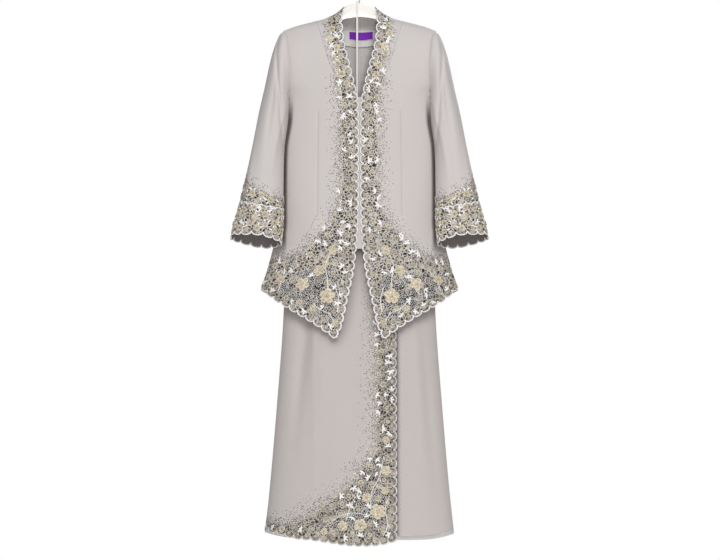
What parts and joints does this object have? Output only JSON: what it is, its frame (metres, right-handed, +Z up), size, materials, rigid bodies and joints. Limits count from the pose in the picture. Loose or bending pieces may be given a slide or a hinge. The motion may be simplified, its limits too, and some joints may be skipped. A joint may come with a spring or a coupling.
{
  "type": "kebaya set on a clothes hanger",
  "caption": "Long-sleeved kebaya jacket with scalloped lace edges and pointed fronts over a wrapped ankle skirt with a lace edge, hung from a wire hook hanger.",
  "frame": {"origin": "inside top of the hanger's hook, where the set hangs on a rail", "axes": "+Z up along the garment, -Y out of its front, +X to the right of someone looking at the front"},
  "size_m": [0.6446, 0.155, 1.4285],
  "materials": {
    "jacket_cloth": "fine matt crepe with a soft sheen",
    "skirt_cloth": "fine matt crepe with a soft sheen",
    "lace": "corded embroidery with cutwork and sequins",
    "facing_cloth": "plain woven lining",
    "label_cloth": "blank woven satin label",
    "ribbon": "satin ribbon",
    "hanger_plastic": "smooth cream",
    "hook_wire": "dull brass-plated wire"
  },
  "bodies": {
    "root": {"front_left": "jacket_cloth", "front_right": "jacket_cloth", "front_lace_left": "lace", "front_lace_right": "lace", "collar_band_left": "lace", "collar_band_right": "lace", "collar_back": "lace", "front_placket": "facing_cloth", "back_left": "jacket_cloth", "back_right": "jacket_cloth", "neck_facing": "facing_cloth", "neck_label": "label_cloth", "sleeve_left": "jacket_cloth", "sleeve_right": "jacket_cloth", "cuff_lace_left_front": "lace", "cuff_lace_left_back": "lace", "cuff_lace_right_front": "lace", "cuff_lace_right_back": "lace", "skirt_over_panel": "skirt_cloth", "skirt_under_panel": "skirt_cloth", "skirt_back": "skirt_cloth", "skirt_lace": "lace", "skirt_waistband": "skirt_cloth", "skirt_hanging_ribbon": "ribbon", "hanger_body": "hanger_plastic", "hanger_hook": "hook_wire"}
  },
  "joints": []
}
